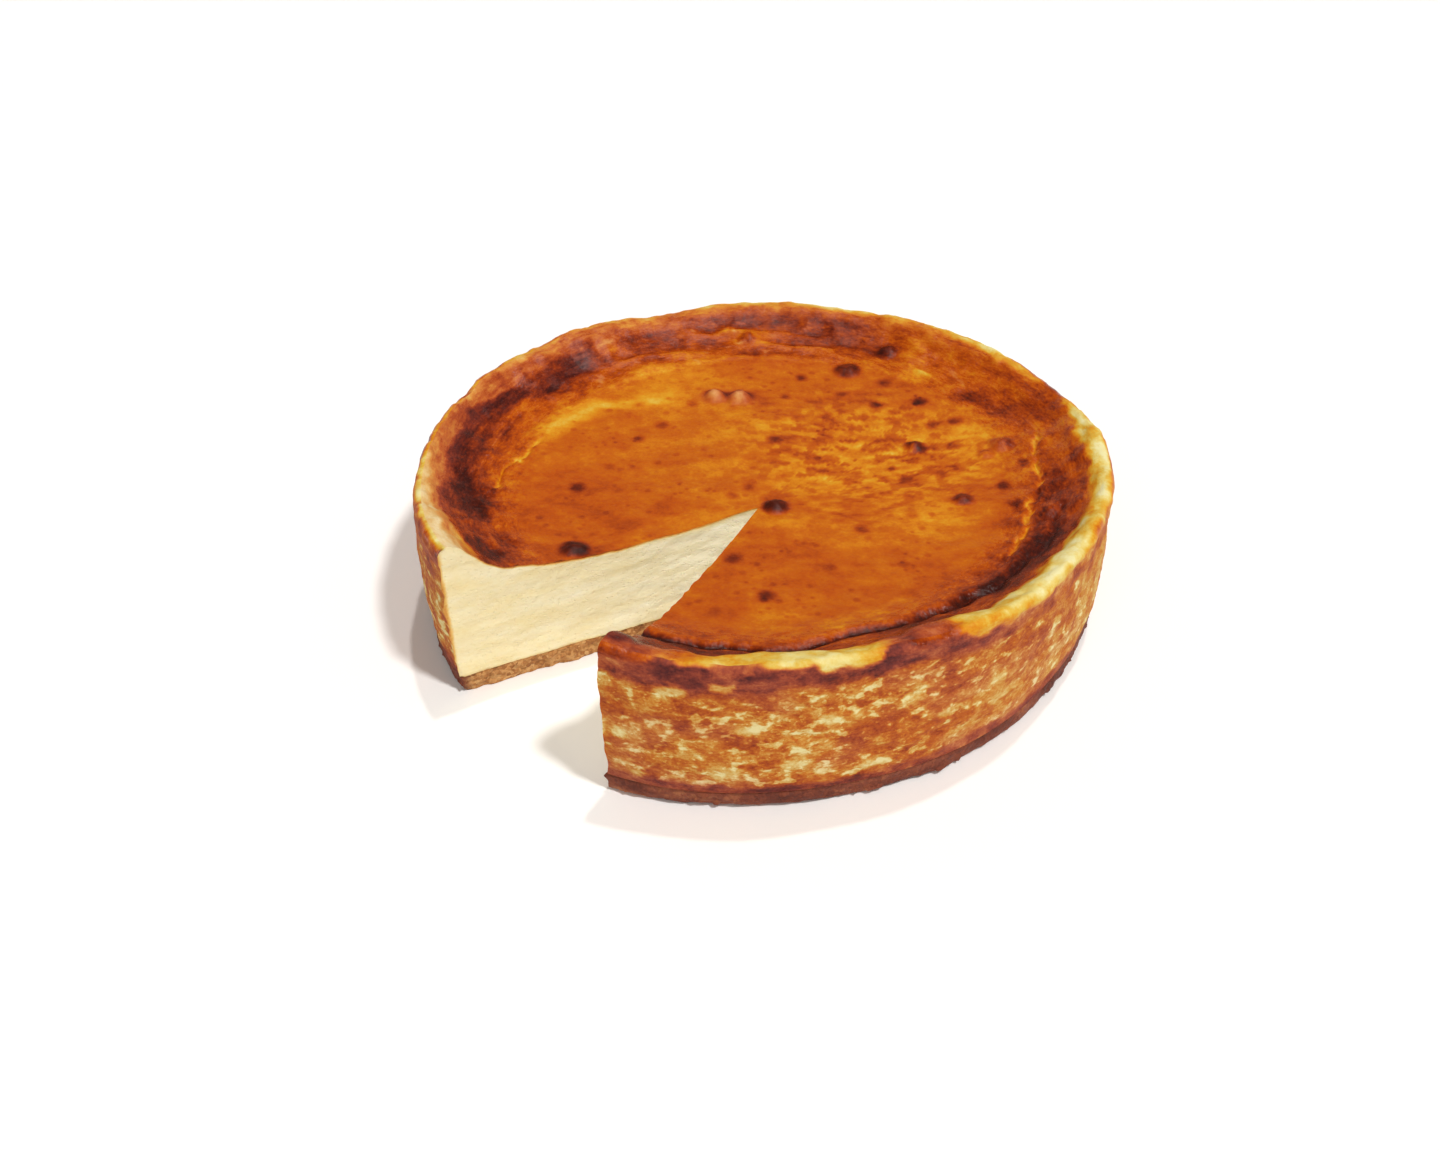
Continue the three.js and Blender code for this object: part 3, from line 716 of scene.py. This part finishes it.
class Nodes:
    def __init__(self, name):
        self.mat = bpy.data.materials.new(name)
        self.mat.use_nodes = True
        self.t = self.mat.node_tree
        self.t.nodes.clear()
        self.out = self.t.nodes.new("ShaderNodeOutputMaterial")
        self.bsdf = self.t.nodes.new("ShaderNodeBsdfPrincipled")
        self.t.links.new(self.bsdf.outputs[0], self.out.inputs[0])

    def link(self, value, socket):
        if isinstance(value, bpy.types.NodeSocket):
            self.t.links.new(value, socket)
        else:
            socket.default_value = value

    def attr(self, name, out="Fac"):
        n = self.t.nodes.new("ShaderNodeAttribute")
        n.attribute_name = name
        return n.outputs[out]

    def math(self, op, a, b=0.0, c=0.0, clamp=False):
        n = self.t.nodes.new("ShaderNodeMath")
        n.operation = op
        n.use_clamp = clamp
        for v, s in zip((a, b, c), n.inputs):
            self.link(v, s)
        return n.outputs[0]

    def scaled(self, vec, k):
        n = self.t.nodes.new("ShaderNodeVectorMath")
        n.operation = "MULTIPLY"
        self.link(vec, n.inputs[0])
        n.inputs[1].default_value = k if isinstance(k, tuple) else (k, k, k)
        return n.outputs[0]

    def noise(self, vec, scale=1.0, detail=3.0, rough=0.55, distortion=0.0):
        n = self.t.nodes.new("ShaderNodeTexNoise")
        n.inputs["Scale"].default_value = scale
        n.inputs["Detail"].default_value = detail
        n.inputs["Roughness"].default_value = rough
        n.inputs["Distortion"].default_value = distortion
        self.link(vec, n.inputs["Vector"])
        return n.outputs["Fac"]

    def voronoi(self, vec, scale=1.0, feature="F1", out="Distance", rnd=1.0):
        n = self.t.nodes.new("ShaderNodeTexVoronoi")
        n.feature = feature
        n.inputs["Scale"].default_value = scale
        n.inputs["Randomness"].default_value = rnd
        self.link(vec, n.inputs["Vector"])
        return n.outputs[out]

    def ramp(self, fac, stops, mode="LINEAR"):
        n = self.t.nodes.new("ShaderNodeValToRGB")
        cr = n.color_ramp
        cr.interpolation = mode
        while len(cr.elements) < len(stops):
            cr.elements.new(0.5)
        for e, (p, c) in zip(cr.elements, stops):
            e.position = p
            e.color = c if len(c) == 4 else srgb(*c)
        self.link(fac, n.inputs[0])
        return n.outputs[0]

    def range(self, v, a, b, c, d, smooth=False):
        n = self.t.nodes.new("ShaderNodeMapRange")
        n.interpolation_type = "SMOOTHSTEP" if smooth else "LINEAR"
        self.link(v, n.inputs[0])
        for i, x in enumerate((a, b, c, d)):
            self.link(x, n.inputs[i + 1])
        return n.outputs[0]

    def mix(self, f, a, b, blend="MIX"):
        n = self.t.nodes.new("ShaderNodeMix")
        n.data_type = "RGBA"
        n.blend_type = blend
        self.link(f, n.inputs[0])
        self.link(a, n.inputs[6])
        self.link(b, n.inputs[7])
        return n.outputs[2]

    def bump(self, height, distance, strength=1.0, normal=None):
        n = self.t.nodes.new("ShaderNodeBump")
        n.inputs["Strength"].default_value = strength
        n.inputs["Distance"].default_value = distance
        self.link(height, n.inputs["Height"])
        if normal is not None:
            self.link(normal, n.inputs["Normal"])
        return n.outputs[0]

    def position(self):
        return self.t.nodes.new("ShaderNodeTexCoord").outputs["Object"]


TOP_RAMP = [(0.00, (230, 222, 166)), (0.10, (224, 206, 126)), (0.20, (216, 180, 72)), (0.30, (213, 152, 30)), (0.40, (207, 126, 12)),
            (0.50, (192, 98, 4)), (0.60, (180, 78, 4)), (0.70, (154, 58, 5)), (0.80, (120, 38, 4)), (0.90, (84, 23, 4)), (1.0, (54, 13, 4))]
WALL_RAMP = [(0.00, (230, 218, 160)), (0.14, (222, 200, 134)), (0.26, (212, 170, 90)), (0.38, (202, 136, 52)), (0.50, (190, 102, 30)),
             (0.62, (172, 78, 22)), (0.74, (150, 60, 20)), (0.86, (112, 40, 18)), (1.0, (74, 26, 16))]
# purple-brown of the skin; on the top's fold crests and blister tops its pale end gives painted pinkish highlights
PLUM_AND_SHEEN_RAMP = [(0.00, (232, 200, 160)), (0.30, (206, 140, 92)), (0.50, (180, 98, 62)), (0.65, (156, 72, 50)), (0.80, (124, 52, 42)), (1.0, (80, 30, 32))]
CUT_RAMP = [(0.00, (252, 246, 222)), (0.10, (245, 235, 200)), (0.22, (240, 224, 174)), (0.40, (228, 186, 104)), (0.60, (196, 120, 44)), (0.80, (140, 66, 22)), (1.0, (86, 34, 16))]


def filling_material():
    n = Nodes("baked_custard")
    tone, wall, cut, band, flow = n.attr("tone"), n.attr("wall"), n.attr("cut"), n.attr("band"), n.attr("flow", "Vector")
    pos = n.scaled(n.position(), 1000.0)          # millimetres
    # fine browning, in patches and specks
    fa = n.noise(pos, 0.16, 4, 0.6)
    fb = n.noise(n.scaled(flow, (0.15, 0.27, 1.0)), 1.0, 5, 0.62)
    fc = n.noise(pos, 0.85, 3, 0.6)
    fd = n.noise(n.scaled(flow, (0.55, 0.80, 1.0)), 1.0, 4, 0.6)
    a = n.math("MULTIPLY", n.math("SUBTRACT", fa, 0.5), 0.20)
    calm = n.range(tone, 0.12, 0.42, 0.30, 1.0)
    b = n.math("MULTIPLY", n.math("MULTIPLY", n.math("MULTIPLY", n.math("SUBTRACT", fb, 0.5), 0.50), band), calm)
    c = n.math("MULTIPLY", n.math("SUBTRACT", fc, 0.5), 0.16)
    d = n.math("MULTIPLY", n.math("MULTIPLY", n.math("MULTIPLY", n.math("SUBTRACT", fd, 0.5), 0.36), band), calm)
    # small dark specks on the open top
    sp = n.voronoi(n.scaled(pos, (0.26, 0.26, 0.26)), 1.0)
    keep = n.range(n.noise(pos, 0.035, 2, 0.5), 0.42, 0.62, 0.0, 1.0, True)
    speck = n.math("MULTIPLY", n.math("MULTIPLY", n.range(sp, 0.10, 0.30, 1.0, 0.0, True), keep), n.math("SUBTRACT", 1.0, band, clamp=True))
    sp2 = n.voronoi(n.scaled(pos, (0.13, 0.13, 0.13)), 1.0)
    speck2 = n.math("MULTIPLY", n.range(sp2, 0.08, 0.24, 1.0, 0.0, True), n.math("SUBTRACT", 1.0, band, clamp=True))
    rough_parts = n.math("ADD", n.math("ADD", a, b), n.math("ADD", c, d))
    extra = n.math("ADD", n.math("MULTIPLY", speck, 0.10), n.math("MULTIPLY", speck2, 0.10))
    # cream flecks on the wall, two sizes, and brown grain between them
    fleck, plum_and_sheen_fac = n.attr("fleck"), n.attr("plum_and_sheen")
    k1 = n.noise(n.scaled(flow, (0.21, 0.30, 1.0)), 1.0, 3, 0.50, 0.10)
    k2 = n.noise(n.scaled(flow, (0.46, 0.62, 1.0)), 1.0, 2, 0.50, 0.10)
    m1 = n.range(n.math("ADD", k1, n.math("MULTIPLY", fleck, 0.125)), 0.655, 0.735, 0.0, 1.0, True)
    m2 = n.range(n.math("ADD", k2, n.math("MULTIPLY", fleck, 0.100)), 0.672, 0.755, 0.0, 1.0, True)
    m3 = n.range(n.math("ADD", k1, n.math("MULTIPLY", fleck, 0.125)), 0.560, 0.690, 0.0, 1.0, True)
    grain = n.math("MULTIPLY", n.math("SUBTRACT", n.noise(n.scaled(flow, (0.95, 1.25, 1.0)), 1.0, 3, 0.65), 0.5), n.math("MULTIPLY", wall, 0.42))
    light = n.math("ADD", n.math("MULTIPLY", n.math("MAXIMUM", m1, n.math("MULTIPLY", m2, 0.75)), 0.25), n.math("MULTIPLY", m3, 0.13))
    light = n.math("MULTIPLY", light, n.math("MULTIPLY", wall, n.range(fleck, 0.0, 0.25, 0.0, 1.0)))
    extra = n.math("ADD", extra, n.math("SUBTRACT", grain, light))
    skin_tone = n.math("ADD", tone, n.math("ADD", rough_parts, extra), clamp=True)
    top_c = n.ramp(skin_tone, TOP_RAMP)
    wall_c = n.ramp(skin_tone, WALL_RAMP)
    skin_c = n.mix(wall, top_c, wall_c)
    # towards purple: the skin's own purple-brown, and on the top painted pinkish highlights on fold crests and blister
    # tops
    skin_c = n.mix(plum_and_sheen_fac, skin_c, n.ramp(skin_tone, PLUM_AND_SHEEN_RAMP))
    # inside of the cake
    ca = n.noise(n.scaled(flow, (0.05, 0.16, 1.0)), 1.0, 4, 0.55)
    cb = n.noise(n.scaled(flow, (0.5, 0.9, 1.0)), 1.0, 3, 0.6)
    cut_tone = n.math("ADD", tone, n.math("ADD", n.math("MULTIPLY", n.math("SUBTRACT", ca, 0.5), 0.34), n.math("MULTIPLY", n.math("SUBTRACT", cb, 0.5), 0.14)), clamp=True)
    cut_c = n.ramp(cut_tone, CUT_RAMP)
    colour = n.mix(cut, skin_c, cut_c)
    n.link(colour, n.bsdf.inputs["Base Color"])
    # finish: the browned top has a soft shine, the wall and the cut are dull
    rg = n.range(skin_tone, 0.05, 0.60, 0.60, 0.44)
    rg = n.math("SUBTRACT", rg, n.math("MULTIPLY", n.math("MULTIPLY", band, n.math("SUBTRACT", 1.0, wall)), n.range(skin_tone, 0.38, 0.60, 0.0, 0.20)))
    rg = n.math("ADD", rg, n.math("MULTIPLY", n.math("SUBTRACT", fc, 0.5), 0.22))
    rg = n.math("ADD", rg, n.math("MULTIPLY", wall, 0.22))
    rg2 = n.math("ADD", n.math("MULTIPLY", rg, n.math("SUBTRACT", 1.0, cut)), n.math("MULTIPLY", cut, 0.62), clamp=True)
    n.link(rg2, n.bsdf.inputs["Roughness"])
    # relief finer than the mesh
    h1 = n.noise(pos, 0.55, 4, 0.6)
    h2 = n.noise(n.scaled(flow, (0.50, 0.95, 1.0)), 1.0, 4, 0.65)
    h3 = n.voronoi(pos, 0.75)
    hs = n.math("ADD", n.math("MULTIPLY", h1, 0.35), n.math("MULTIPLY", n.math("MULTIPLY", h2, band), n.range(wall, 0.0, 1.0, 0.42, 0.95)))
    pits = n.math("MULTIPLY", n.range(h3, 0.10, 0.34, -1.0, 0.0, True), n.math("MULTIPLY", cut, 0.22))
    hs = n.math("ADD", hs, pits)
    nb = n.bump(hs, 0.0008, 0.75)
    n.link(nb, n.bsdf.inputs["Normal"])
    n.bsdf.inputs["IOR"].default_value = 1.42
    n.bsdf.inputs["Specular IOR Level"].default_value = 0.25
    n.bsdf.inputs["Subsurface Weight"].default_value = 0.08
    n.bsdf.inputs["Subsurface Radius"].default_value = (1.0, 0.6, 0.3)
    n.bsdf.inputs["Subsurface Scale"].default_value = 0.0025
    return n.mat


def base_material():
    n = Nodes("pressed_crumbs")
    dark, mottle = n.attr("dark"), n.attr("mottle")
    pos = n.scaled(n.position(), 1000.0)
    f1 = n.noise(pos, 0.45, 5, 0.7)
    f2 = n.voronoi(pos, 0.75, out="Color")
    f3 = n.voronoi(pos, 0.75)
    sep = n.t.nodes.new("ShaderNodeSeparateColor")
    n.link(f2, sep.inputs[0])
    grain = sep.outputs[0]
    f = n.math("ADD", n.math("MULTIPLY", f1, 0.65), n.math("MULTIPLY", grain, 0.35), clamp=True)
    inner = n.ramp(f, [(0.15, (112, 66, 32)), (0.40, (170, 112, 60)), (0.60, (200, 146, 88)), (0.85, (226, 184, 128))])
    g = n.math("ADD", n.math("MULTIPLY", f, 0.55), n.math("MULTIPLY", mottle, 0.45), clamp=True)
    outer = n.ramp(g, [(0.20, (86, 38, 26)), (0.42, (114, 54, 36)), (0.60, (136, 70, 46)), (0.85, (176, 110, 70))])
    n.link(n.mix(dark, inner, outer), n.bsdf.inputs["Base Color"])
    n.link(n.range(f1, 0.3, 0.7, 0.62, 0.85), n.bsdf.inputs["Roughness"])
    h = n.math("ADD", n.math("MULTIPLY", f1, 0.8), n.math("MULTIPLY", f3, -0.6))
    n.link(n.bump(h, 0.0010, 0.8), n.bsdf.inputs["Normal"])
    n.bsdf.inputs["Specular IOR Level"].default_value = 0.35
    return n.mat


def plain(name, colour, rough):
    n = Nodes(name)
    n.bsdf.inputs["Base Color"].default_value = colour
    n.bsdf.inputs["Roughness"].default_value = rough
    n.bsdf.inputs["Specular IOR Level"].default_value = 0.2
    return n.mat


# ------------------------------------------------------------------ pieces
def show(name, me, mat, node):
    me.materials.append(mat)
    ob = bpy.data.objects.new(name, me)
    bpy.context.scene.collection.objects.link(ob)
    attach(ob, "root")
    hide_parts(node)
    return ob


filling = show("custard_body", make_filling(), filling_material(), "cheese_filling")
base = show("crumb_base", make_base(), base_material(), "biscuit_base")

# ------------------------------------------------------------------ floor, light, camera
me = bpy.data.meshes.new("floor")
k = 6.0
me.from_pydata([(-k, -k, 0), (k, -k, 0), (k, k, 0), (-k, k, 0)], [], [(0, 1, 2, 3)])
me.materials.append(plain("floor_white", (0.98, 0.98, 0.98, 1), 0.8))
floor = bpy.data.objects.new("floor", me)
floor.location = (0, 0, -0.0002)
bpy.context.scene.collection.objects.link(floor)

world = bpy.data.worlds.new("studio")
world.use_nodes = True
wt = world.node_tree
bg = wt.nodes["Background"]
bg.inputs[0].default_value = (1.0, 0.90, 0.80, 1)
# a pale band at the horizon, dimmer overhead
direction = wt.nodes.new("ShaderNodeTexCoord")
parts = wt.nodes.new("ShaderNodeSeparateXYZ")
fade = wt.nodes.new("ShaderNodeMapRange")
fade.interpolation_type = "SMOOTHSTEP"
for i, value in enumerate((0.10, 0.48, 0.60, 0.185)):
    fade.inputs[i + 1].default_value = value
wt.links.new(direction.outputs["Generated"], parts.inputs[0])
wt.links.new(parts.outputs[2], fade.inputs[0])
wt.links.new(fade.outputs[0], bg.inputs[1])
bpy.context.scene.world = world


def sun(name, az, el, strength, angle, colour):
    L = bpy.data.lights.new(name, "SUN")
    L.energy, L.angle, L.color = strength, math.radians(angle), colour
    o = bpy.data.objects.new(name, L)
    a, e = math.radians(az), math.radians(el)
    o.rotation_mode = "QUATERNION"
    o.rotation_quaternion = Vector((math.cos(a) * math.cos(e), math.sin(a) * math.cos(e), math.sin(e))).to_track_quat("Z", "Y")
    bpy.context.scene.collection.objects.link(o)
    return o


sun("key", -36, 61, 1.98, 6.0, (1.0, 0.985, 0.96))
sun("fill", -102, 46, 0.58, 45.0, (1.0, 0.975, 0.94))
sun("glint", 62, 76, 0.78, 2.0, (1.0, 0.94, 0.90))

cam_data = bpy.data.cameras.new("camera")
cam = bpy.data.objects.new("camera", cam_data)
bpy.context.scene.collection.objects.link(cam)
c = Vector((0 + SHIFT[0] / 1000, -3.4499 * 0.12 + SHIFT[1] / 1000, 2.6285 * 0.12))
target = Vector((-0.1214 * 0.12 + SHIFT[0] / 1000, -0.2815 * 0.12 + SHIFT[1] / 1000, 0.2 * 0.12))
fwd = (target - c).normalized()
right = fwd.cross(Vector((0, 0, 1))).normalized()
up = right.cross(fwd)
roll = -0.0149
rx = right * math.cos(roll) + up * math.sin(roll)
ux = -right * math.sin(roll) + up * math.cos(roll)
m = Matrix.Identity(4)
for i in range(3):
    m[i][0], m[i][1], m[i][2], m[i][3] = rx[i], ux[i], -fwd[i], c[i]
cam.matrix_world = m
cam_data.sensor_width = 36.0
cam_data.lens = 1393.7 * 36.0 / 1440.0
cam_data.clip_start, cam_data.clip_end = 0.01, 50.0
bpy.context.scene.camera = cam
bpy.context.scene.view_settings.view_transform = "Standard"
bpy.context.scene.view_settings.look = "None"
